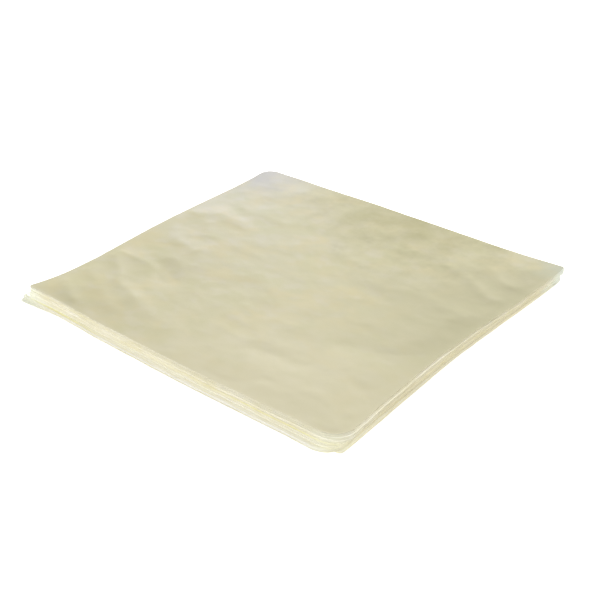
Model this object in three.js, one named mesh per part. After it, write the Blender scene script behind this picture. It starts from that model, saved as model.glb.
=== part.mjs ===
// A stack of forty square spring roll wrappers, as it comes out of its pack.
//
// Millimetres, +Z up. The stack rests on z = 0 and its box is centred on the origin. Seen from
// above, "left" is -X, "right" is +X, "front" is -Y and "back" is +Y. Each wrapper is a thin sheet
// of dough with a film of air below it. The sheets lie in four bundles, each a little out of line
// with the next, as a pack falls when it is turned out.

import * as THREE from "three";

// ---- driving dimensions -------------------------------------------------------------------

const SHEETS = 40;
const STACK_HEIGHT = 10; // at the middle, without the loft and wrinkles of the uppermost sheet
const AIR = 0.04; // between two sheets of one bundle
const SEAM_AIR = 0.12; // between two bundles
const TOP_AIR = 0.12; // below the uppermost sheet, which lies loose on the others

const LEFT_CURL = 2.0; // how far the left corner of the uppermost sheet bends up
const RIGHT_CURL = 1.9; // the same at the right corner
const CURL_REACH = 55; // length of edge that bends up with a corner
const CURL_SHAPE = 1.6; // 1 bends straight, more bends later and steeper
const CURL_GROWTH = 1.5; // the same for the way the curl grows from sheet to sheet

const JITTER = 0.3; // how far a sheet's corners lie off those of its bundle
const BOW_JITTER = 0.25; // the same for the middles of its edges

const WRINKLE_MARGIN = 9; // strip along the edges where the wrinkles die out
const LOFT = 0.5; // how far the uppermost sheet lies off its neighbour, between its wrinkles
const LOFT_MARGIN = 28; // strip along the edges where it comes down to its neighbour

// The corners of each bundle: left (front left), front (front right), right (back right) and back
// (back left), and their radii.
// An edge bends in by (bow + skew s + flare s^2)(1 - s^2), with s from -1 to 1 along it, to the
// right or to the back. These are its bow, skew and flare.
const BUNDLES = [
  {
    name: "foot",
    sheets: 3,
    corners: { left: [-116.2, -106.5], front: [113.4, -103.3], right: [114.5, 109.7], back: [-112.6, 106.4] },
    radii: { left: 3, front: 3, right: 1.5, back: 9 },
    edges: { front: [0.9, -1, 2.4], right: [3, -0.7, -3.4], back: [0.6, 0, 0], left: [1.2, 0, 0] },
  },
  {
    name: "lower",
    sheets: 9,
    corners: { left: [-116.7, -103.7], front: [112.7, -110.0], right: [114.4, 109.9], back: [-112.4, 106.2] },
    radii: { left: 2.5, front: 13, right: 1.5, back: 10 },
    edges: { front: [-1.3, 0.6, 2.2], right: [3.5, -0.4, -0.4], back: [0.8, 0.4, 0], left: [1, -0.8, 1] },
  },
  {
    name: "middle",
    sheets: 12,
    corners: { left: [-110.8, -103.8], front: [113.4, -107.8], right: [114.4, 108.9], back: [-109.2, 105.6] },
    radii: { left: 3, front: 11, right: 3, back: 8 },
    edges: { front: [-0.4, -0.8, 1.6], right: [3.6, -1.2, 0], back: [0.6, -0.4, 0], left: [1.2, -1.4, 3] },
  },
  {
    name: "upper",
    sheets: 16,
    corners: { left: [-108.8, -104.4], front: [116.8, -107.2], right: [117.6, 106.6], back: [-107.1, 103.4] },
    radii: { left: 2.5, front: 13, right: 2, back: 10 },
    edges: { front: [-1.1, -1, 2.7], right: [4.3, -2, -3.3], back: [-1.3, 0.3, 0.4], left: [0.5, -2, 9.6] },
  },
];

// Where two bundles meet, the sheets beside the seam draw back at the corners by these depths.
const GROOVES = [
  { below: "middle", sheets: 2, depth: { left: 1.3, front: 0.3, right: 0.6, back: 1.0 } },
  { below: "upper", sheets: 2, depth: { left: 0.2, front: 1.4, right: 0, back: 0 } },
  { below: "upper", sheets: 5, depth: { left: 0, front: 0, right: 2.2, back: 0.6 } },
];

// The uppermost sheets draw back a little more from one to the next.
const SHOULDER = { sheets: 7, depth: { left: 0, front: 2.6, right: 0.2, back: 0 } };

// Wrinkles of the uppermost sheet: from, to, half width and height. A hollow has a negative height.
const WRINKLES = [
  // the fan of folds at the left corner
  { from: [-100, -41], to: [-74, -41], width: 6, height: 0.35 },
  { from: [-70, -38], to: [-52, -48], width: 7, height: -0.5 },
  { from: [-100, -48], to: [-79, -61], width: 5, height: 0.4 },
  { from: [-76, -66], to: [-54, -75], width: 5, height: 0.4 },
  { from: [-54, -75], to: [-34, -81], width: 7, height: 0.25 },
  { from: [-96, -70], to: [-60, -87], width: 7, height: 0.3 },
  { from: [-97, -88], to: [-81, -97], width: 6, height: 0.5 },
  // along the left edge
  { from: [-88, 31], to: [-68, 31], width: 7, height: 0.35 },
  { from: [-104, 24], to: [-98, 24], width: 7, height: 0.35 },
  { from: [-62, 50], to: [-44, 48], width: 7, height: 0.15 },
  { from: [-82, 18], to: [-72, 6], width: 6, height: 0.25 },
  { from: [-86, -8], to: [-66, -14], width: 7, height: 0.35 },
  { from: [-70, -27], to: [-58, -32], width: 6, height: 0.3 },
  // at the back
  { from: [-62, 88], to: [-52, 88], width: 8, height: 0.3 },
  { from: [4, 76], to: [18, 75], width: 6, height: 0.2 },
  { from: [20, 89], to: [30, 90], width: 7, height: 0.25 },
  { from: [26, 66], to: [36, 66], width: 6, height: 0.25 },
  // in the middle
  { from: [4, 39], to: [18, 38], width: 6, height: 0.2 },
  { from: [-16, 10], to: [4, 12], width: 8, height: 0.1 },
  { from: [-28, 22], to: [-18, 28], width: 6, height: 0.1 },
  { from: [-18, -12], to: [22, -30], width: 7, height: 0.15 },
  { from: [30, 6], to: [30, -20], width: 7, height: 0.15 },
  { from: [38, 24], to: [60, 24], width: 5, height: 0.1 },
  { from: [38, 14], to: [60, 14], width: 6, height: -0.2 },
  { from: [60, 28], to: [74, 26], width: 5, height: 0.15 },
  { from: [30, -72], to: [62, -67], width: 6, height: -0.25 },
  { from: [22, -41], to: [36, -40], width: 7, height: 0.15 },
  // along the right edge
  { from: [62, 66], to: [104, 50], width: 5, height: 0.35 },
  { from: [84, 77], to: [104, 69], width: 5, height: 0.2 },
  { from: [66, -40], to: [104, -29], width: 9, height: -0.35 },
  { from: [92, -63], to: [104, -63], width: 6, height: -0.2 },
  { from: [96, -10], to: [96, 16], width: 7, height: 0.25 },
  { from: [86, 26], to: [100, 24], width: 7, height: 0.3 },
];

// Lines of the net that each sheet is drawn on, from edge to edge. They crowd at the corners.
const ACROSS = [-1, -0.94, -0.87, -0.45, 0.45, 0.87, 0.94, 1]; // from left to right
const ALONG = [-1, -0.94, -0.87, -0.62, 0, 0.62, 0.87, 0.94, 1]; // from front to back
const HALF_WIDTH = 110; // mean distance from a sheet's middle to its edges, at 1 in the net
const FINE_STEP = 0.09; // widest spacing of the same lines on the uppermost sheet

const EDGE_COLOUR = new THREE.Color(0.92, 0.9, 0.81); // where only cut edges show
const FACE_COLOUR = new THREE.Color(0.82, 0.8, 0.67); // the broad face on top
const COLOUR_RISE = 4; // 1 changes evenly from sheet to sheet, more keeps the lower ones pale
const ROUGHNESS = 0.55;

// ---- the bundles --------------------------------------------------------------------------

const SEAMS = BUNDLES.length - 1;
const PITCH = (STACK_HEIGHT - SEAMS * SEAM_AIR - TOP_AIR) / SHEETS;
const SHEET_THICKNESS = PITCH - AIR;

// How many sheets lie below a bundle.
function sheetsBelow(order) {
  return BUNDLES.slice(0, order).reduce((sum, bundle) => sum + bundle.sheets, 0);
}

// Which bundle a sheet lies in, counted from the lowest.
function bundleOrder(index) {
  return BUNDLES.findIndex((bundle, order) => index < sheetsBelow(order) + bundle.sheets);
}

// A repeatable number from -1 to 1 for each sheet and each thing about it that varies: 0 to 3 are
// its corners from left to right, 4 to 7 the same from front to back, and 8 to 11 its edges.
const SHEET_STRIDE = 12.9898; // odd factors, so that neighbours have nothing in common
const THING_STRIDE = 78.233;
const SCATTER = 43758.5453;
const SECOND_AXIS = 4;
const FIRST_EDGE = 8;

function variation(index, what) {
  const wave = Math.sin((index + 1) * SHEET_STRIDE + what * THING_STRIDE) * SCATTER;
  return 2 * (wave - Math.floor(wave)) - 1;
}

// How far one corner of a sheet draws back from its bundle's.
function drawnBack(index, corner) {
  let back = 0;
  for (const groove of GROOVES) {
    const seam = sheetsBelow(BUNDLES.findIndex((bundle) => bundle.name === groove.below));
    const steps = Math.abs(index + 0.5 - seam);
    if (steps < groove.sheets) back += groove.depth[corner] * (1 - steps / (groove.sheets + 1));
  }
  const share = Math.max(0, index + 1 - (SHEETS - SHOULDER.sheets)) / SHOULDER.sheets;
  return back + SHOULDER.depth[corner] * share ** 2;
}

// ---- the outline of one sheet -------------------------------------------------------------

const TOWARDS_MIDDLE = { left: [1, 1], front: [-1, 1], right: [-1, -1], back: [1, -1] };
const EDGE_ENDS = {
  front: ["left", "front"],
  right: ["front", "right"],
  back: ["back", "right"],
  left: ["left", "back"],
};
const INWARD = { front: [0, 1], right: [-1, 0], back: [0, -1], left: [1, 0] };

// The sheet's own corners, radii and edge bends.
function planOf(index) {
  const { corners, radii, edges } = BUNDLES[bundleOrder(index)];
  const plan = { corners: {}, radii, edges: {} };
  Object.keys(corners).forEach((corner, at) => {
    const back = drawnBack(index, corner);
    const [x, y] = corners[corner];
    const [inX, inY] = TOWARDS_MIDDLE[corner];
    plan.corners[corner] = new THREE.Vector2(
      x + inX * back + JITTER * variation(index, at),
      y + inY * back + JITTER * variation(index, at + SECOND_AXIS),
    );
  });
  Object.keys(edges).forEach((edge, at) => {
    const [bow, skew, flare] = edges[edge];
    plan.edges[edge] = [bow + BOW_JITTER * variation(index, at + FIRST_EDGE), skew, flare];
  });
  return plan;
}

// A point of one edge, s = -1 at its first end and 1 at its last. The ends are the middles of the
// rounded corners, so two edges meet there.
function edgePoint(plan, edge, s) {
  const [first, last] = EDGE_ENDS[edge].map((corner) => plan.corners[corner]);
  const radius = plan.radii[EDGE_ENDS[edge][s < 0 ? 0 : 1]];
  const half = first.distanceTo(last) / 2;
  const arc = radius / half;
  const turn = (Math.max(0, Math.abs(s) - 1 + arc) / arc) * (Math.PI / 4);
  const along = turn > 0 ? Math.sign(s) * (half - radius + radius * Math.sin(turn)) : s * half;
  const [bow, skew, flare] = plan.edges[edge];
  const inset = (bow + skew * s + flare * s * s) * (1 - s * s) + radius * (1 - Math.cos(turn));
  const middle = first.clone().add(last).multiplyScalar(0.5);
  const direction = last.clone().sub(first).normalize();
  const inward = new THREE.Vector2(...INWARD[edge]);
  return middle.addScaledVector(direction, along).addScaledVector(inward, inset);
}

// A point of the sheet seen from above: u runs from left to right and v from front to back, and the
// four edges are blended into each other.
function planPoint(plan, u, v) {
  const [left, right, front, back] = [(1 - u) / 2, (1 + u) / 2, (1 - v) / 2, (1 + v) / 2];
  const point = new THREE.Vector2();
  point.addScaledVector(edgePoint(plan, "front", u), front);
  point.addScaledVector(edgePoint(plan, "back", u), back);
  point.addScaledVector(edgePoint(plan, "left", v), left);
  point.addScaledVector(edgePoint(plan, "right", v), right);
  point.addScaledVector(edgePoint(plan, "front", -1), -left * front);
  point.addScaledVector(edgePoint(plan, "front", 1), -right * front);
  point.addScaledVector(edgePoint(plan, "back", -1), -left * back);
  point.addScaledVector(edgePoint(plan, "back", 1), -right * back);
  return point;
}

// ---- heights ------------------------------------------------------------------------------

// How much a place bends up, 1 at a corner's own edge and 0 past its reach. It runs straight from
// one line of the coarse net to the next, so that the uppermost sheet bends like the others.
const ROUNDING = 1e-9;

function bend(lines, distance) {
  const sampled = (t) => Math.max(0, 1 - (t * HALF_WIDTH) / CURL_REACH) ** CURL_SHAPE;
  const after = lines.findIndex((line) => line + 1 >= distance - ROUNDING);
  if (after <= 0) return sampled(0);
  const [t0, t1] = [lines[after - 1] + 1, lines[after] + 1];
  return THREE.MathUtils.mapLinear(distance, t0, t1, sampled(t0), sampled(t1));
}

// The curl at the left and right corners grows from nothing at the lowest sheet.
function curl(index, u, v) {
  const growth = (index / (SHEETS - 1)) ** CURL_GROWTH;
  const leftCorner = LEFT_CURL * bend(ACROSS, 1 + u) * bend(ALONG, 1 + v);
  const rightCorner = RIGHT_CURL * bend(ACROSS, 1 - u) * bend(ALONG, 1 - v);
  return growth * (leftCorner + rightCorner);
}

// Distance of a point from the stretch between two others.
function distanceToStretch(point, from, to) {
  const start = new THREE.Vector2(...from);
  const stretch = new THREE.Vector2(...to).sub(start);
  const share = THREE.MathUtils.clamp(point.clone().sub(start).dot(stretch) / stretch.lengthSq(), 0, 1);
  return point.distanceTo(start.addScaledVector(stretch, share));
}

// How far the uppermost sheet lies off its neighbour, with its wrinkles and never below it.
function relief(point, u, v) {
  const toEdge = (1 - Math.max(Math.abs(u), Math.abs(v))) * HALF_WIDTH;
  let height = 0;
  for (const wrinkle of WRINKLES) {
    const away = distanceToStretch(point, wrinkle.from, wrinkle.to) / wrinkle.width;
    height += wrinkle.height * Math.exp(-away * away);
  }
  const loft = LOFT * THREE.MathUtils.smoothstep(toEdge, 0, LOFT_MARGIN);
  return Math.max(0, loft + height * THREE.MathUtils.smoothstep(toEdge, 0, WRINKLE_MARGIN));
}

function undersideHeight(index, u, v) {
  const loose = index === SHEETS - 1 ? TOP_AIR : 0;
  return index * PITCH + bundleOrder(index) * SEAM_AIR + loose + curl(index, u, v);
}

// ---- one sheet ----------------------------------------------------------------------------

// The net's lines with more put between them where they stand further apart than a step.
function refined(lines, step) {
  const result = [lines[0]];
  for (let i = 1; i < lines.length; i++) {
    const parts = Math.ceil((lines[i] - lines[i - 1]) / step);
    for (let part = 1; part <= parts; part++)
      result.push(THREE.MathUtils.lerp(lines[i - 1], lines[i], part / parts));
  }
  return result;
}

// A closed sheet: an underside and an upper face on the same net, and the cut edge between them.
function sheetGeometry(index) {
  const top = index === SHEETS - 1;
  const [us, vs] = [ACROSS, ALONG].map((lines) => (top ? refined(lines, FINE_STEP) : lines));
  const [columns, rows] = [us.length, vs.length];
  const plan = planOf(index);
  const positions = [];
  for (const rise of [0, SHEET_THICKNESS])
    for (const v of vs)
      for (const u of us) {
        const point = planPoint(plan, u, v);
        const lift = top ? relief(point, u, v) : 0;
        positions.push(point.x, point.y, undersideHeight(index, u, v) + lift + rise);
      }
  const under = (i, j) => j * columns + i;
  const upper = (i, j) => columns * rows + j * columns + i;
  const triangles = [];
  for (let j = 0; j < rows - 1; j++)
    for (let i = 0; i < columns - 1; i++) {
      triangles.push(upper(i, j), upper(i + 1, j), upper(i, j + 1));
      triangles.push(upper(i + 1, j), upper(i + 1, j + 1), upper(i, j + 1));
      triangles.push(under(i, j), under(i, j + 1), under(i + 1, j));
      triangles.push(under(i + 1, j), under(i, j + 1), under(i + 1, j + 1));
    }
  const rim = [];
  for (let i = 0; i < columns - 1; i++) rim.push([i, 0]);
  for (let j = 0; j < rows - 1; j++) rim.push([columns - 1, j]);
  for (let i = columns - 1; i > 0; i--) rim.push([i, rows - 1]);
  for (let j = rows - 1; j > 0; j--) rim.push([0, j]);
  rim.forEach((a, at) => {
    const b = rim[(at + 1) % rim.length];
    triangles.push(under(...a), under(...b), upper(...b));
    triangles.push(under(...a), upper(...b), upper(...a));
  });
  const geometry = new THREE.BufferGeometry();
  geometry.setAttribute("position", new THREE.Float32BufferAttribute(positions, 3));
  geometry.setIndex(triangles);
  geometry.computeVertexNormals();
  return geometry;
}

// ---- the stack ----------------------------------------------------------------------------

const stack = new THREE.Group();
for (let index = 0; index < SHEETS; index++) {
  const height = index / (SHEETS - 1);
  const color = EDGE_COLOUR.clone().lerp(FACE_COLOUR, height ** COLOUR_RISE);
  const material = new THREE.MeshStandardMaterial({ color, roughness: ROUGHNESS, metalness: 0 });
  const sheet = new THREE.Mesh(sheetGeometry(index), material);
  sheet.name = "wrapper_" + String(index + 1).padStart(2, "0");
  stack.add(sheet);
}

export default stack;
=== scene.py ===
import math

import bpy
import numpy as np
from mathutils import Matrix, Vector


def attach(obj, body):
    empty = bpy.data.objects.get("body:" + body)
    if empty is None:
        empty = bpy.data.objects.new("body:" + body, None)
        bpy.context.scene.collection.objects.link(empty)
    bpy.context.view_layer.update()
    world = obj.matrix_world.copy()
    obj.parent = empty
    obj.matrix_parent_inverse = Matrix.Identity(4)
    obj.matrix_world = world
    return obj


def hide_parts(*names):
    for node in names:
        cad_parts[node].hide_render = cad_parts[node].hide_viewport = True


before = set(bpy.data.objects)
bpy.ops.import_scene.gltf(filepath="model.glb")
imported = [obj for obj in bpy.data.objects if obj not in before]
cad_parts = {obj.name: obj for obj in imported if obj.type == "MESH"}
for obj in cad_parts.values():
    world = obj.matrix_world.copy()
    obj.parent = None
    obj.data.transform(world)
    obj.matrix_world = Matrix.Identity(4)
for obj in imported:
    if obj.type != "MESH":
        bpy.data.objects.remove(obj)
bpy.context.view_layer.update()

# A stack of forty square spring roll wrappers, as it comes out of its pack.
#
# Every sheet of the CAD model is replaced by a finer one, drawn by the same rules in the same frame:
# +X is right, +Y is back and +Z is up. The rules work in millimetres and the meshes in metres.
# "left" is the front left corner or edge, "front" the front right one, and so on, as in the CAD.

MM = 0.001

# ---- the stack, as in the CAD ---------------------------------------------------------------

SHEETS = 40
STACK_HEIGHT = 10
AIR = 0.04  # between two sheets of one bundle
SEAM_AIR = 0.12  # between two bundles
TOP_AIR = 0.12  # below the uppermost sheet

LEFT_CURL = 2.0  # how far the left corner of the uppermost sheet bends up
RIGHT_CURL = 1.9
CURL_REACH = 55  # length of edge that bends up with a corner
CURL_SHAPE = 1.6  # 1 bends straight, more bends later and steeper
CURL_GROWTH = 1.5  # the same for the way the curl grows from sheet to sheet

JITTER = 0.3  # how far a sheet's corners lie off those of its bundle
BOW_JITTER = 0.25
HALF_WIDTH = 110  # mean distance from a sheet's middle to its edges

# The repeatable numbers of variation(), and where its draws for the corners' y and for the edges start.
SHEET_STRIDE = 12.9898
THING_STRIDE = 78.233
SCATTER = 43758.5453
SECOND_AXIS = 4
FIRST_EDGE = 8

WRINKLE_MARGIN = 9  # strip along the edges where the wrinkles die out
LOFT = 0.5  # how far the uppermost sheet lies off its neighbour, between its wrinkles
LOFT_MARGIN = 28  # strip along the edges where it comes down to its neighbour

# Name, sheets, corners, radii, and bow, skew and flare of the edges. Corners run left, front, right
# and back, and edges front, right, back and left. The corners and bends were fitted to the outline
# in the photo and rounded to 0.1 mm.
BUNDLES = [
    ("foot", 3, [(-116.2, -106.5), (113.4, -103.3), (114.5, 109.7), (-112.6, 106.4)], [3, 3, 1.5, 9],
     [(0.9, -1, 2.4), (3, -0.7, -3.4), (0.6, 0, 0), (1.2, 0, 0)]),
    ("lower", 9, [(-116.7, -103.7), (112.7, -110.0), (114.4, 109.9), (-112.4, 106.2)], [2.5, 13, 1.5, 10],
     [(-1.3, 0.6, 2.2), (3.5, -0.4, -0.4), (0.8, 0.4, 0), (1, -0.8, 1)]),
    ("middle", 12, [(-110.8, -103.8), (113.4, -107.8), (114.4, 108.9), (-109.2, 105.6)], [3, 11, 3, 8],
     [(-0.4, -0.8, 1.6), (3.6, -1.2, 0), (0.6, -0.4, 0), (1.2, -1.4, 3)]),
    ("upper", 16, [(-108.8, -104.4), (116.8, -107.2), (117.6, 106.6), (-107.1, 103.4)], [2.5, 13, 2, 10],
     [(-1.1, -1, 2.7), (4.3, -2, -3.3), (-1.3, 0.3, 0.4), (0.5, -2, 9.6)]),
]

# Seam, sheets beside it that draw back, and how far at the left, front, right and back corners.
GROOVES = [
    ("middle", 2, (1.3, 0.3, 0.6, 1.0)),
    ("upper", 2, (0.2, 1.4, 0, 0)),
    ("upper", 5, (0, 0, 2.2, 0.6)),
]
# The uppermost sheets draw back a little more from one to the next.
SHOULDER_SHEETS = 7
SHOULDER = (0, 2.6, 0.2, 0)

# Wrinkles of the uppermost sheet: from, to, half width and height. A hollow has a negative height.
WRINKLES = [
    # the fan of folds at the left corner
    ((-100, -41), (-74, -41), 6, 0.35),
    ((-70, -38), (-52, -48), 7, -0.5),
    ((-100, -48), (-79, -61), 5, 0.4),
    ((-76, -66), (-54, -75), 5, 0.4),
    ((-54, -75), (-34, -81), 7, 0.25),
    ((-96, -70), (-60, -87), 7, 0.3),
    ((-97, -88), (-81, -97), 6, 0.5),
    # along the left edge
    ((-88, 31), (-68, 31), 7, 0.35),
    ((-104, 24), (-98, 24), 7, 0.35),
    ((-62, 50), (-44, 48), 7, 0.15),
    ((-82, 18), (-72, 6), 6, 0.25),
    ((-86, -8), (-66, -14), 7, 0.35),
    ((-70, -27), (-58, -32), 6, 0.3),
    # at the back
    ((-62, 88), (-52, 88), 8, 0.3),
    ((4, 76), (18, 75), 6, 0.2),
    ((20, 89), (30, 90), 7, 0.25),
    ((26, 66), (36, 66), 6, 0.25),
    # in the middle
    ((4, 39), (18, 38), 6, 0.2),
    ((-16, 10), (4, 12), 8, 0.1),
    ((-28, 22), (-18, 28), 6, 0.1),
    ((-18, -12), (22, -30), 7, 0.15),
    ((30, 6), (30, -20), 7, 0.15),
    ((38, 24), (60, 24), 5, 0.1),
    ((38, 14), (60, 14), 6, -0.2),
    ((60, 28), (74, 26), 5, 0.15),
    ((30, -72), (62, -67), 6, -0.25),
    ((22, -41), (36, -40), 7, 0.15),
    # along the right edge
    ((62, 66), (104, 50), 5, 0.35),
    ((84, 77), (104, 69), 5, 0.2),
    ((66, -40), (104, -29), 9, -0.35),
    ((92, -63), (104, -63), 6, -0.2),
    ((96, -10), (96, 16), 7, 0.25),
    ((86, 26), (100, 24), 7, 0.3),
]

LEFT, FRONT, RIGHT, BACK = range(4)
TOWARDS_MIDDLE = [(1, 1), (-1, 1), (-1, -1), (1, -1)]
EDGE_ENDS = [(LEFT, FRONT), (FRONT, RIGHT), (BACK, RIGHT), (LEFT, BACK)]
INWARD = [(0, 1), (-1, 0), (0, -1), (1, 0)]
FRONT_EDGE, RIGHT_EDGE, BACK_EDGE, LEFT_EDGE = range(4)

# ---- what only shows from near --------------------------------------------------------------

RAGGED = 0.1  # how far a cut edge strays by itself
RAGGED_GRAIN = 6
RAGGED_SEED = 31
RAGGED_SPACING = 7  # how far apart two sheets lie in the noise
TOGETHER = 0.22  # how far the edges of a bundle stray together, being cut in one stroke
TOGETHER_GRAIN = 17
TOGETHER_SEED = 41
TOGETHER_SPACING = 9  # how far apart two bundles lie in the noise
CORNER_QUIET = 8  # the higher, the nearer to the corners the stray goes on
SWELL = 0.25  # slow ups and downs of the uppermost sheet, less in those below
SWELL_WAVES = [(48, 0.6, 3), (27, 0.4, 4)]  # grain, share and seed
RIM_ROUND = 0.03  # how far the cut edge bulges
RIM = 0.016  # how far it stands proud of the faces, towards the next sheet
SEAM_RIM = 0.05  # the same beside a seam, where there is more air
FOLD_ROUND = 0.45  # how round a wrinkle's crest is, in its half widths
FOLD_FALL = 1.45  # how fast it falls away from there
FOLD_GAIN = 1.3  # how much higher a wrinkle stands than on the coarse net of the CAD
WARP = 1.5  # how far the wrinkles stray from straight
WARP_GRAIN = 12
WARP_SEEDS = (11, 12)
# Finer waves of the uppermost sheet: grain from front to back and from left to right, height and seed.
FINE_WAVES = [(12, 15, 0.08, 21), (6, 8, 0.06, 22), (3.4, 4, 0.02, 23)]

NOISE_CELLS = 128  # the noise repeats after so many cells
NOISE_START = 1000  # keeps its coordinates positive

# The nets of the sheets.
CORNER_START = 0.97  # from here to 1 along an edge the steps are closer
CORNER_STEPS = 7
TOP_STEPS = 190
LOWER_STEPS = 130
RINGS = [1, 0.993, 0.975, 0.93, 0.8, 0.55, 0.25, 0]  # of a lower sheet, 1 at its edge
SHARP_ANGLE = 50

PITCH = (STACK_HEIGHT - (len(BUNDLES) - 1) * SEAM_AIR - TOP_AIR) / SHEETS
THICKNESS = PITCH - AIR


def lattice_noise(x, y, cell, seed):
    """Smooth noise from -1 to 1 that changes over about one cell."""
    grid = np.random.default_rng(seed).uniform(-1, 1, (NOISE_CELLS, NOISE_CELLS))
    gx, gy = x / cell + NOISE_START, y / cell + NOISE_START
    ix, iy = np.floor(gx).astype(int), np.floor(gy).astype(int)
    fx, fy = gx - ix, gy - iy
    sx, sy = (f * f * f * (f * (f * 6 - 15) + 10) for f in (fx, fy))

    def at(i, j):
        return grid[(ix + i) % NOISE_CELLS, (iy + j) % NOISE_CELLS]

    low = at(0, 0) * (1 - sx) + at(1, 0) * sx
    high = at(0, 1) * (1 - sx) + at(1, 1) * sx
    return low * (1 - sy) + high * sy


# ---- outline of a sheet ---------------------------------------------------------------------


def bundle_of(index):
    below = 0
    for order, bundle in enumerate(BUNDLES):
        if index < below + bundle[1]:
            return order, bundle
        below += bundle[1]


def first_sheet(name):
    """The number of sheets below a bundle."""
    below = 0
    for bundle in BUNDLES:
        if bundle[0] == name:
            return below
        below += bundle[1]


def variation(index, what):
    """A repeatable number from -1 to 1, the same as in the CAD."""
    wave = math.sin((index + 1) * SHEET_STRIDE + what * THING_STRIDE) * SCATTER
    return 2 * (wave - math.floor(wave)) - 1


def drawn_back(index, corner):
    back = 0
    for name, sheets, depth in GROOVES:
        steps = abs(index + 0.5 - first_sheet(name))
        if steps < sheets:
            back += depth[corner] * (1 - steps / (sheets + 1))
    share = max(0, index + 1 - (SHEETS - SHOULDER_SHEETS)) / SHOULDER_SHEETS
    return back + SHOULDER[corner] * share**2


def plan_of(index):
    """The sheet's own corners, radii and edge bends."""
    order, (_, _, corners, radii, edges) = bundle_of(index)
    own = []
    for corner, (x, y) in enumerate(corners):
        back = drawn_back(index, corner)
        in_x, in_y = TOWARDS_MIDDLE[corner]
        own.append(
            (
                x + in_x * back + JITTER * variation(index, corner),
                y + in_y * back + JITTER * variation(index, corner + SECOND_AXIS),
            )
        )
    bent = []
    for edge, (bow, skew, flare) in enumerate(edges):
        bent.append((bow + BOW_JITTER * variation(index, edge + FIRST_EDGE), skew, flare))
    return {"index": index, "order": order, "corners": np.array(own), "radii": radii, "edges": bent}


def edge_points(plan, edge, s):
    """Points of one edge, s from -1 to 1, with the slight stray of a cut."""
    first, last = (plan["corners"][c] for c in EDGE_ENDS[edge])
    radius = np.where(s < 0, *(plan["radii"][c] for c in EDGE_ENDS[edge]))
    half = np.linalg.norm(last - first) / 2
    arc = radius / half
    turn = np.maximum(0, np.abs(s) - 1 + arc) / arc * math.pi / 4
    along = np.where(turn > 0, np.sign(s) * (half - radius + radius * np.sin(turn)), s * half)
    bow, skew, flare = plan["edges"][edge]
    inset = (bow + skew * s + flare * s * s) * (1 - s * s) + radius * (1 - np.cos(turn))
    quiet = 1 - np.clip(np.abs(s), 0, 1) ** CORNER_QUIET
    own_row = 0 * along + RAGGED_SPACING * plan["index"]
    own = lattice_noise(along, own_row, RAGGED_GRAIN, RAGGED_SEED + edge)
    shared_row = 0 * along + TOGETHER_SPACING * plan["order"]
    together = lattice_noise(along, shared_row, TOGETHER_GRAIN, TOGETHER_SEED + edge)
    inset = inset + quiet * (RAGGED * own + TOGETHER * together)
    direction = (last - first) / np.linalg.norm(last - first)
    return (first + last) / 2 + along[..., None] * direction + inset[..., None] * np.array(INWARD[edge])


def plan_points(plan, u, v):
    """Points of the sheet from above: u runs from left to right and v from front to back."""
    shares = ((1 - u) / 2, (1 + u) / 2, (1 - v) / 2, (1 + v) / 2)
    left, right, front, back = (share[..., None] for share in shares)
    end = np.array([-1.0, 1.0])
    low, high = edge_points(plan, FRONT_EDGE, end), edge_points(plan, BACK_EDGE, end)
    return (
        front * edge_points(plan, FRONT_EDGE, u)
        + back * edge_points(plan, BACK_EDGE, u)
        + left * edge_points(plan, LEFT_EDGE, v)
        + right * edge_points(plan, RIGHT_EDGE, v)
        - left * front * low[0]
        - right * front * low[1]
        - left * back * high[0]
        - right * back * high[1]
    )


# ---- heights --------------------------------------------------------------------------------


def bend(distance):
    return np.maximum(0, 1 - distance * HALF_WIDTH / CURL_REACH) ** CURL_SHAPE


def stack_height(index, xy, u, v):
    """Height of a sheet's underside."""
    order, _ = bundle_of(index)
    share = index / (SHEETS - 1)
    curl = LEFT_CURL * bend(1 + u) * bend(1 + v) + RIGHT_CURL * bend(1 - u) * bend(1 - v)
    x, y = xy[..., 0], xy[..., 1]
    waves = sum(part * lattice_noise(x, y, grain, seed) for grain, part, seed in SWELL_WAVES)
    swell = SWELL * share * waves
    loose = TOP_AIR if index == SHEETS - 1 else 0
    return index * PITCH + order * SEAM_AIR + loose + share**CURL_GROWTH * curl + swell


def smoothstep(t):
    t = np.clip(t, 0, 1)
    return t * t * (3 - 2 * t)


def relief(xy, u, v):
    """How far the uppermost sheet lies off its neighbour.

    The wrinkles run as in the CAD, but are higher, crisper and less straight, and finer waves are added.
    """
    x, y = xy[..., 0], xy[..., 1]
    to_edge = (1 - np.maximum(np.abs(u), np.abs(v))) * HALF_WIDTH
    wx = x + WARP * lattice_noise(x, y, WARP_GRAIN, WARP_SEEDS[0])
    wy = y + WARP * lattice_noise(x, y, WARP_GRAIN, WARP_SEEDS[1])
    height = np.zeros(x.shape)
    for start, end, width, rise in WRINKLES:
        start, end = np.array(start, float), np.array(end, float)
        stretch = end - start
        along = (wx - start[0]) * stretch[0] + (wy - start[1]) * stretch[1]
        t = np.clip(along / (stretch @ stretch), 0, 1)
        away = np.hypot(wx - start[0] - t * stretch[0], wy - start[1] - t * stretch[1]) / width
        height += FOLD_GAIN * rise * np.exp(FOLD_FALL * (FOLD_ROUND - np.hypot(away, FOLD_ROUND)))
    for across, along, rise, seed in FINE_WAVES:
        height += rise * lattice_noise(wx * across / along, wy, across, seed)
    loft = LOFT * smoothstep(to_edge / LOFT_MARGIN)
    return np.maximum(0, loft + height * smoothstep(to_edge / WRINKLE_MARGIN))


# ---- meshes ---------------------------------------------------------------------------------


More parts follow.
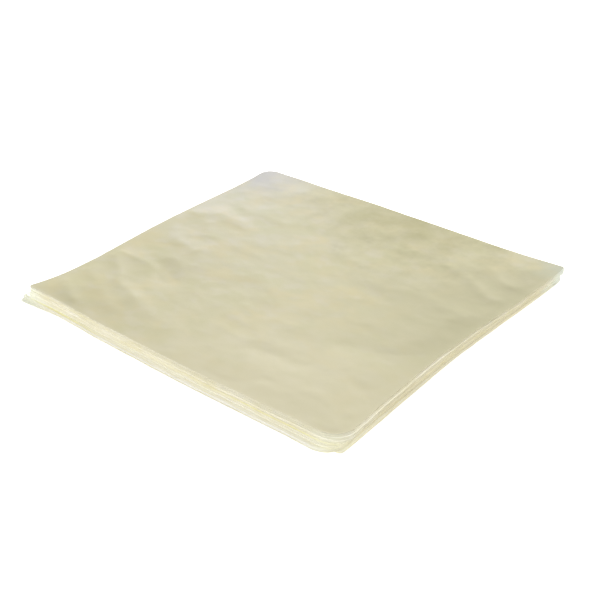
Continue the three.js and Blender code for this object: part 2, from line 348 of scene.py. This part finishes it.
def make_mesh(name, points, quads, cut, to_edge):
    """A closed sheet. The quads from number "cut" on are its cut edge, which wears material 1."""
    mesh = bpy.data.meshes.new(name)
    mesh.vertices.add(len(points))
    mesh.vertices.foreach_set("co", (points * MM).astype(np.float32).ravel())
    mesh.loops.add(quads.size)
    mesh.loops.foreach_set("vertex_index", quads.astype(np.int32).ravel())
    mesh.polygons.add(len(quads))
    mesh.polygons.foreach_set("loop_start", np.arange(0, quads.size, 4, dtype=np.int32))
    mesh.polygons.foreach_set("material_index", (np.arange(len(quads)) >= cut).astype(np.int32))
    mesh.polygons.foreach_set("use_smooth", np.ones(len(quads), bool))
    attribute = mesh.attributes.new("to_edge", "FLOAT", "POINT")
    attribute.data.foreach_set("value", to_edge.astype(np.float32))
    mesh.update(calc_edges=True)
    mesh.validate()
    mesh.set_sharp_from_angle(angle=math.radians(SHARP_ANGLE))
    piece = bpy.data.objects.new(name, mesh)
    bpy.context.scene.collection.objects.link(piece)
    return piece


def edge_steps(count):
    """Places along an edge, closer at the rounded corners."""
    corner = np.linspace(CORNER_START, 1, CORNER_STEPS)
    middle = np.linspace(-CORNER_START, CORNER_START, count)
    return np.concatenate([-corner[::-1], middle[1:-1], corner])


def bulged(points, loop):
    """The outline moved out a little, for the middle of the cut edge."""
    ring = points[loop].copy()
    ahead = np.roll(ring[:, :2], -1, 0) - np.roll(ring[:, :2], 1, 0)
    out = np.stack([ahead[:, 1], -ahead[:, 0]], 1)
    ring[:, :2] += RIM_ROUND * out / np.linalg.norm(out, axis=1, keepdims=True)
    return ring


def swollen(index):
    """How far the cut edge stands proud of the underside and of the upper face, to all but close the gaps."""
    starts = {first_sheet(bundle[0]) for bundle in BUNDLES} | {SHEETS - 1}
    below = SEAM_RIM if index in starts else RIM
    above = SEAM_RIM if index + 1 in starts else RIM
    return below, above


def closed_sheet(index, name, under, quads, loop, to_edge):
    """Underside and upper face on one net, and the cut edge between them along the loop."""
    count = len(under)
    upper = under + [0, 0, THICKNESS]
    down, up = swollen(index)
    if index > 0:
        under[loop, 2] -= down
    upper[loop, 2] += up
    ring = bulged(under, loop)
    ring[:, 2] += THICKNESS / 2
    middle = 2 * count + np.arange(len(loop))
    following = np.roll(np.arange(len(loop)), -1)
    low, high = loop, loop + count
    lower_strip = np.stack([low, low[following], middle[following], middle], 1)
    upper_strip = np.stack([middle, middle[following], high[following], high], 1)
    faces = np.concatenate([quads[:, ::-1], quads + count, lower_strip, upper_strip])
    points = np.concatenate([under, upper, ring])
    edge = np.concatenate([to_edge, to_edge, np.zeros(len(loop))])
    return make_mesh(name, points, faces, 2 * len(quads), edge)


def top_sheet(index, name):
    """The uppermost sheet, on a net fine enough for its relief."""
    s = edge_steps(TOP_STEPS)
    n = len(s)
    u, v = np.meshgrid(s, s)
    u, v = u.ravel(), v.ravel()
    xy = plan_points(plan_of(index), u, v)
    z = stack_height(index, xy, u, v) + relief(xy, u, v)
    at = np.arange(n * n).reshape(n, n)
    quads = np.stack([at[:-1, :-1], at[:-1, 1:], at[1:, 1:], at[1:, :-1]], -1).reshape(-1, 4)
    loop = np.concatenate([at[0, :-1], at[:-1, -1], at[-1, :0:-1], at[:0:-1, 0]])
    to_edge = (1 - np.maximum(np.abs(u), np.abs(v))) * HALF_WIDTH
    return closed_sheet(index, name, np.column_stack([xy, z]), quads, loop, to_edge)


def lower_sheet(index, name):
    """A sheet below, on rings that crowd at its edges and end in one spot at its hidden middle."""
    s = edge_steps(LOWER_STEPS)
    side = np.ones(len(s) - 1)
    u = np.concatenate([s[:-1], side, -s[:-1], -side])
    v = np.concatenate([-side, s[:-1], side, -s[:-1]])
    count = len(u)
    rings = np.array(RINGS)
    us, vs = (rings[:, None] * w[None, :] for w in (u, v))
    plan = plan_of(index)
    xy = plan_points(plan, us.ravel(), vs.ravel())
    z = stack_height(index, xy, us.ravel(), vs.ravel())
    points = np.column_stack([xy, z])
    at = np.arange(len(rings) * count).reshape(len(rings), count)
    quads = np.stack([at[:-1], np.roll(at[:-1], -1, 1), np.roll(at[1:], -1, 1), at[1:]], -1).reshape(-1, 4)
    to_edge = np.repeat((1 - rings) * HALF_WIDTH, count)
    return closed_sheet(index, name, points, quads, at[0], to_edge)


# ---- colours, as they look on a screen ------------------------------------------------------

TOP = (208, 202, 167)
TOP_WARM = (212, 203, 163)
TOP_GREEN = (205, 200, 161)
TOP_PALE = (213, 207, 184)
TOP_RIM = (212, 206, 178)
# Painted shade towards the right and the back of the top, and painted light towards its front.
TOP_SHADE_RIGHT = (193, 188, 152)
TOP_SHADE_BACK = (179, 173, 129)
TOP_LIGHT_FRONT = (217, 210, 178)
# Painted grey reflection at the back corner of the top.
BACK_CORNER_REFLECTION = (181, 180, 181)
# Painted shade on the curled right tip of the top.
RIGHT_TIP_SHADE = (198, 201, 180)
LEDGE = (232, 227, 200)
# Painted light: a whiter copy of the ledge, for the tops of the foot and lower bundles, whose ledges at the
# seams lie in shade.
LEDGE_LIT = (243, 242, 230)
LEDGE_PALE = (236, 232, 214)
# Painted shade: the yellowish shade of the crevice between two bundles.
SEAM_SHADE_YELLOW = (236, 235, 158)
# Painted shade on the right side, which gets less light than the front.
RIGHT_SIDE_SHADE = (220, 213, 184)
# Painted shade on the back and left sides, which face the key light.
FAR_SIDE_SHADE = (188, 182, 150)
# Painted light over the shade at the left, front and right corners of the sheets below.
LEFT_CORNER_LIGHT = (238, 239, 224)
FRONT_CORNER_LIGHT = (243, 242, 223)
RIGHT_CORNER_LIGHT = (230, 233, 222)

# Painted light and shade on the uppermost sheet: where, how far, how much and which colour.
TOP_LIGHT_ZONES = [
    ((118, 20), 125, 0.9, TOP_SHADE_RIGHT),
    ((10, 130), 105, 0.9, TOP_SHADE_BACK),
    ((60, -120), 150, 0.9, TOP_LIGHT_FRONT),
    ((-106, 104), 56, 0.5, BACK_CORNER_REFLECTION),
    ((119, 109), 24, 1.0, RIGHT_TIP_SHADE),
]
# The same for the sheets below, painted light at their corners: place, reach, share and colour.
FRONT_LIGHT_ZONE = ((109, -109), 24, 0.7, FRONT_CORNER_LIGHT)
END_LIGHT_ZONES = [((-114, -105), 26, 1.0, LEFT_CORNER_LIGHT), ((116, 108), 26, 1.0, RIGHT_CORNER_LIGHT)]
RIGHT_FROM, RIGHT_TO = 104, 110  # the x between which the cut edge takes on the right side's painted shade
BACK_FROM, BACK_TO = 98, 103  # the y between which a ledge takes on the far sides' painted shade
ZONE_GRAIN = 16  # of a zone's uneven border
ZONE_STRAY = 1.1  # how far the border strays, in reaches

# ---- materials ------------------------------------------------------------------------------


def linear(r, g, b):
    """A colour given as it looks on a screen, 0 to 255, as light."""
    shares = [c / 255 for c in (r, g, b)]
    light = [((c + 0.055) / 1.055) ** 2.4 if c > 10 / 255 else c / 12.92 for c in shares]
    return (*light, 1)


class Nodes:
    """Short names for building a node tree."""

    def __init__(self, name):
        self.material = bpy.data.materials.new(name)
        self.material.use_nodes = True
        self.tree = self.material.node_tree
        self.tree.nodes.clear()

    def add(self, kind, inputs=None, **settings):
        node = self.tree.nodes.new(kind)
        for key, value in settings.items():
            setattr(node, key, value)
        for key, value in (inputs or {}).items():
            if isinstance(value, bpy.types.NodeSocket):
                self.tree.links.new(value, node.inputs[key])
            else:
                node.inputs[key].default_value = value
        return node

    def noise(self, where, size, detail=2.0, rough=0.5, distortion=0.0):
        """Noise from 0 to 1 whose grain is about this many millimetres."""
        inputs = {"Vector": where, "Scale": 1 / (size * MM), "Detail": detail, "Roughness": rough}
        inputs["Distortion"] = distortion
        return self.add("ShaderNodeTexNoise", inputs).outputs["Fac"]

    def mapped(self, where, **inputs):
        """Coordinates shifted or scaled."""
        return self.add("ShaderNodeMapping", {"Vector": where, **inputs}).outputs["Vector"]

    def ramp(self, value, low, high, to_low=0.0, to_high=1.0):
        return self.add(
            "ShaderNodeMapRange",
            {"Value": value, "From Min": low, "From Max": high, "To Min": to_low, "To Max": to_high},
            interpolation_type="SMOOTHSTEP",
        ).outputs["Result"]

    def mix(self, factor, a, b, kind="MIX"):
        node = self.add("ShaderNodeMix", data_type="RGBA", blend_type=kind)
        for socket, value in zip((node.inputs[0], node.inputs[6], node.inputs[7]), (factor, a, b)):
            if isinstance(value, bpy.types.NodeSocket):
                self.tree.links.new(value, socket)
            else:
                socket.default_value = value
        return node.outputs[2]

    def math(self, kind, a, b=0.0):
        node = self.add("ShaderNodeMath", operation=kind)
        for socket, value in zip(node.inputs, (a, b)):
            if isinstance(value, bpy.types.NodeSocket):
                self.tree.links.new(value, socket)
            else:
                socket.default_value = value
        return node.outputs[0]


def principled(t, colour, rough, normal, glow=0.0):
    """Dough. The glow is painted light: an emission that stands for the light thin dough passes on from
    inside the stack, and lifts the shade between the sheets.
    """
    shader = t.add(
        "ShaderNodeBsdfPrincipled",
        {
            "Base Color": colour,
            "Roughness": rough,
            "IOR": 1.42,
            "Normal": normal,
            "Emission Color": colour,
            "Emission Strength": glow,
        },
    )
    t.add("ShaderNodeOutputMaterial", {"Surface": shader.outputs["BSDF"]})
    return t.material


def near(t, where, place, reach):
    """1 at a place and 0 from its reach on, with an uneven border. In millimetres."""
    separate = t.add("ShaderNodeSeparateXYZ", {"Vector": where})
    dx = t.math("ADD", separate.outputs["X"], -place[0] * MM)
    dy = t.math("ADD", separate.outputs["Y"], -place[1] * MM)
    square = t.math("ADD", t.math("MULTIPLY", dx, dx), t.math("MULTIPLY", dy, dy))
    distance = t.math("POWER", square, 0.5)
    uneven = t.math("ADD", t.noise(where, ZONE_GRAIN, 3, 0.6), -0.5)
    stray = t.math("MULTIPLY", uneven, reach * ZONE_STRAY * MM)
    return t.ramp(t.math("ADD", distance, stray), reach * MM, 0.0)


def zoned(t, where, colour, zone):
    """A colour with the tint of one zone over it."""
    place, reach, share, tint = zone
    return t.mix(t.math("MULTIPLY", near(t, where, place, reach), share), colour, linear(*tint))


def far_side_shade(t, where):
    """1 at the back and left sides, which face the light and get painted shade, and at the ledges along the
    back.
    """
    normal = t.add("ShaderNodeSeparateXYZ", {"Vector": t.add("ShaderNodeNewGeometry").outputs["Normal"]})
    place = t.add("ShaderNodeSeparateXYZ", {"Vector": where})
    facing_back = t.ramp(normal.outputs["Y"], 0.2, 0.6)
    at_back = t.ramp(place.outputs["Y"], BACK_FROM * MM, BACK_TO * MM)
    back = t.math("MAXIMUM", facing_back, at_back)
    left = t.ramp(normal.outputs["X"], -0.3, -0.7)
    return t.math("MAXIMUM", back, left)


def dough_top(name):
    """The broad face on top: cream with soft brownish and greenish patches, uneven satin gloss, and painted
    light and shade.
    """
    t = Nodes(name)
    where = t.add("ShaderNodeTexCoord").outputs["Object"]
    to_edge = t.add("ShaderNodeAttribute", attribute_name="to_edge").outputs["Fac"]
    stretched = t.mapped(where, Scale=(0.8, 1, 1))
    warm = t.noise(stretched, 17, 3, 0.5, 0.5)
    green = t.noise(t.mapped(stretched, Location=(0.31, 0.17, 0)), 21, 3, 0.5, 0.5)
    pale = t.noise(t.mapped(stretched, Location=(0.07, 0.53, 0)), 8, 2, 0.5)
    grain = t.noise(where, 1.1, 2, 0.6)
    colour = t.mix(t.ramp(warm, 0.42, 0.68), linear(*TOP), linear(*TOP_WARM))
    colour = t.mix(t.ramp(green, 0.45, 0.7), colour, linear(*TOP_GREEN))
    colour = t.mix(t.math("MULTIPLY", t.ramp(pale, 0.45, 0.75), 0.5), colour, linear(*TOP_PALE))
    colour = t.mix(t.math("MULTIPLY", t.ramp(grain, 0.55, 0.8), 0.25), colour, linear(*TOP_PALE))
    dry = t.math("MULTIPLY", t.ramp(to_edge, 4.0, 0.3), 0.45)
    colour = t.mix(dry, colour, linear(*TOP_RIM))
    # zones of painted shade, light and reflection over the top
    for zone in TOP_LIGHT_ZONES:
        colour = zoned(t, where, colour, zone)
    gloss = {"Value": pale, "From Min": 0.3, "From Max": 0.7, "To Min": 0.3, "To Max": 0.37}
    rough = t.add("ShaderNodeMapRange", gloss).outputs["Result"]
    height = t.math("ADD", t.math("MULTIPLY", pale, 0.8), t.math("MULTIPLY", grain, 0.2))
    bump = t.add("ShaderNodeBump", {"Strength": 0.25, "Distance": 0.0002, "Height": height})
    return principled(t, colour, rough, bump.outputs["Normal"])


def side_tints(t, where, colour):
    """The tints that the ledges and the cut edges share: painted light at three corners, and painted shade at
    the far sides.
    """
    colour = zoned(t, where, colour, FRONT_LIGHT_ZONE)
    colour = t.mix(far_side_shade(t, where), colour, linear(*FAR_SIDE_SHADE))
    for zone in END_LIGHT_ZONES:
        colour = zoned(t, where, colour, zone)
    return colour


def dough_ledge(name, tint, glow):
    """The face of the sheets below, which shows as narrow ledges: paler and less yellow than the top, with a
    glow of painted light.
    """
    t = Nodes(name)
    where = t.add("ShaderNodeTexCoord").outputs["Object"]
    patches = t.noise(where, 12, 3, 0.55, 0.5)
    colour = t.mix(t.ramp(patches, 0.35, 0.65), linear(*tint), linear(*LEDGE_PALE))
    colour = side_tints(t, where, colour)
    grain = t.noise(where, 0.8, 2, 0.6)
    bump = t.add("ShaderNodeBump", {"Strength": 0.25, "Distance": 0.0001, "Height": grain})
    return principled(t, colour, 0.5, bump.outputs["Normal"], glow)


def dough_edge(name, tint, pale, glow, right, yellow=None):
    """The cut edge: matt, in streaks along the cut.

    "right" is the share of the right side's painted shade, as it gets less light. Beside a seam the edge
    takes on the painted yellowish shade of the crevice, from the first x of "yellow" to the second.
    """
    t = Nodes(name)
    where = t.add("ShaderNodeTexCoord").outputs["Object"]
    flat = t.mapped(where, Scale=(1, 1, 5))
    streaks = t.noise(flat, 14, 3, 0.6)
    grain = t.noise(where, 0.7, 2, 0.6)
    colour = t.mix(t.ramp(streaks, 0.36, 0.64), linear(*tint), linear(*pale))
    x = t.add("ShaderNodeSeparateXYZ", {"Vector": where}).outputs["X"]
    # painted yellowish shade of the crevice beside a seam
    if yellow:
        place = t.ramp(x, yellow[0] * MM, yellow[1] * MM)
        share = t.math("MULTIPLY", place, t.ramp(streaks, 0.2, 0.6, 0.4, 0.8))
        colour = t.mix(share, colour, linear(*SEAM_SHADE_YELLOW))
    # painted shade of the right side
    side = t.math("MULTIPLY", t.ramp(x, RIGHT_FROM * MM, RIGHT_TO * MM), right)
    colour = t.mix(side, colour, linear(*RIGHT_SIDE_SHADE))
    colour = side_tints(t, where, colour)
    bump = t.add("ShaderNodeBump", {"Strength": 0.3, "Distance": 0.0001, "Height": grain})
    return principled(t, colour, 0.6, bump.outputs["Normal"], glow)


# ---- the sheets -----------------------------------------------------------------------------

top_face = dough_top("dough_top")
ledge = dough_ledge("dough_ledge", LEDGE, 0.22)
lit_ledge = dough_ledge("dough_ledge_lit", LEDGE_LIT, 0.22)
# Painted light: the cut edges grow whiter and glow more from bundle to bundle towards the floor.
bundle_edges = [
    dough_edge("dough_edge_foot", (242, 242, 236), (246, 246, 241), 0.15, 0.7),
    dough_edge("dough_edge_lower", (242, 241, 233), (246, 245, 239), 0.08, 0.9),
    dough_edge("dough_edge_middle", (240, 237, 219), (244, 242, 230), 0.05, 1.0),
    dough_edge("dough_edge_upper", (229, 224, 197), (236, 232, 213), 0.03, 0.9),
]
# Painted light: the edges beside the seams and those of the uppermost sheets glow more, to lift the shade in
# the gaps.
lower_seam = dough_edge("dough_edge_lower_seam", (242, 240, 226), (246, 244, 235), 0.14, 1.0, (-35, -75))
rim = dough_edge("dough_edge_rim", (234, 229, 204), (238, 234, 214), 0.14, 0.9)
upper_seam = dough_edge("dough_edge_upper_seam", (240, 236, 214), (244, 241, 228), 0.13, 1.0, (-20, 25))

SEAM_SHEETS = 2  # sheets on either side of a seam that wear its colour
seams = {first_sheet("middle"): lower_seam, first_sheet("upper"): upper_seam}
# sheets whose faces wear the whiter ledge of painted light
lit_ledges = {first_sheet("lower") - 1, first_sheet("middle") - 1}


def edge_of(index):
    """The material of a sheet's cut edge."""
    if index >= SHEETS - SHOULDER_SHEETS:
        return rim
    for seam, material in seams.items():
        if seam - SEAM_SHEETS <= index < seam + SEAM_SHEETS:
            return material
    return bundle_edges[bundle_of(index)[0]]


for index in range(SHEETS):
    node = f"wrapper_{index + 1:02d}"
    top = index == SHEETS - 1
    name = f"sheet_{index + 1:02d}"
    sheet = top_sheet(index, name) if top else lower_sheet(index, name)
    if top:
        face = top_face
    elif index in lit_ledges:
        face = lit_ledge
    else:
        face = ledge
    sheet.data.materials.append(face)
    sheet.data.materials.append(edge_of(index))
    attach(sheet, "root")
    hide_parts(node)

# ---- floor, light and camera ----------------------------------------------------------------

FLOOR_REACH = 3.0
FLOOR_HEIGHT = -0.00005  # just clear of the lowest sheet
FLOOR_TINT = (0.96, 0.96, 0.96, 1)
FLOOR_GLOW = 0.55
ROOM_LIGHT = 0.47
WHITE = (1, 1, 1, 1)

floor_mesh = bpy.data.meshes.new("floor")
floor_corners = [(-1, -1), (1, -1), (1, 1), (-1, 1)]
floor_points = [(x * FLOOR_REACH, y * FLOOR_REACH, FLOOR_HEIGHT) for x, y in floor_corners]
floor_mesh.from_pydata(floor_points, [], [(0, 1, 2, 3)])
floor = bpy.data.objects.new("floor", floor_mesh)
bpy.context.scene.collection.objects.link(floor)
t = Nodes("floor")
shader = t.add(
    "ShaderNodeBsdfPrincipled",
    {
        "Base Color": FLOOR_TINT,
        "Roughness": 0.9,
        "Specular IOR Level": 0.0,
        "Emission Color": WHITE,
        "Emission Strength": FLOOR_GLOW,
    },
)
t.add("ShaderNodeOutputMaterial", {"Surface": shader.outputs["BSDF"]})
floor_mesh.materials.append(t.material)

world = bpy.data.worlds.new("studio")
bpy.context.scene.world = world
world.use_nodes = True
world.node_tree.nodes["Background"].inputs["Color"].default_value = WHITE
world.node_tree.nodes["Background"].inputs["Strength"].default_value = ROOM_LIGHT


def direction(azimuth, elevation):
    """From the stack towards a light or camera. Azimuth 0 is in front and 90 on the right."""
    a, e = math.radians(azimuth), math.radians(elevation)
    return Vector((math.sin(a) * math.cos(e), -math.cos(a) * math.cos(e), math.sin(e)))


def area_light(name, azimuth, elevation, distance, size, power, glossy=True, colour=(1, 1, 1)):
    """A square soft light that looks at the stack."""
    out = direction(azimuth, elevation)
    data = bpy.data.lights.new(name, "AREA")
    data.size = size
    data.energy = power
    data.color = colour
    light = bpy.data.objects.new(name, data)
    light.visible_glossy = glossy
    light.location = out * distance
    light.rotation_mode = "QUATERNION"
    light.rotation_quaternion = out.to_track_quat("Z", "Y")
    bpy.context.scene.collection.objects.link(light)


area_light("key_soft", 202, 22, 8, 5.1, 1010, glossy=False)
area_light("front_soft", -15, 9, 3.6, 1.2, 26, glossy=False)
area_light("back_gloss", 224, 14, 1.0, 0.2, 0.55, colour=(0.42, 0.5, 1))

CAMERA_AZIMUTH, CAMERA_ELEVATION = 39.0, 31.0
CAMERA_DISTANCE = 0.708
CAMERA_TARGET = Vector((0.0085, -0.00435, 0))
CAMERA_LENS = 73.9
CAMERA_SENSOR = 36
back = direction(CAMERA_AZIMUTH, CAMERA_ELEVATION)
camera_data = bpy.data.cameras.new("camera")
camera_data.sensor_width = CAMERA_SENSOR
camera_data.lens = CAMERA_LENS
camera = bpy.data.objects.new("camera", camera_data)
camera.location = CAMERA_TARGET + back * CAMERA_DISTANCE
camera.rotation_mode = "QUATERNION"
camera.rotation_quaternion = back.to_track_quat("Z", "Y")
bpy.context.scene.collection.objects.link(camera)
bpy.context.scene.camera = camera

bpy.context.scene.view_settings.view_transform = "Standard"
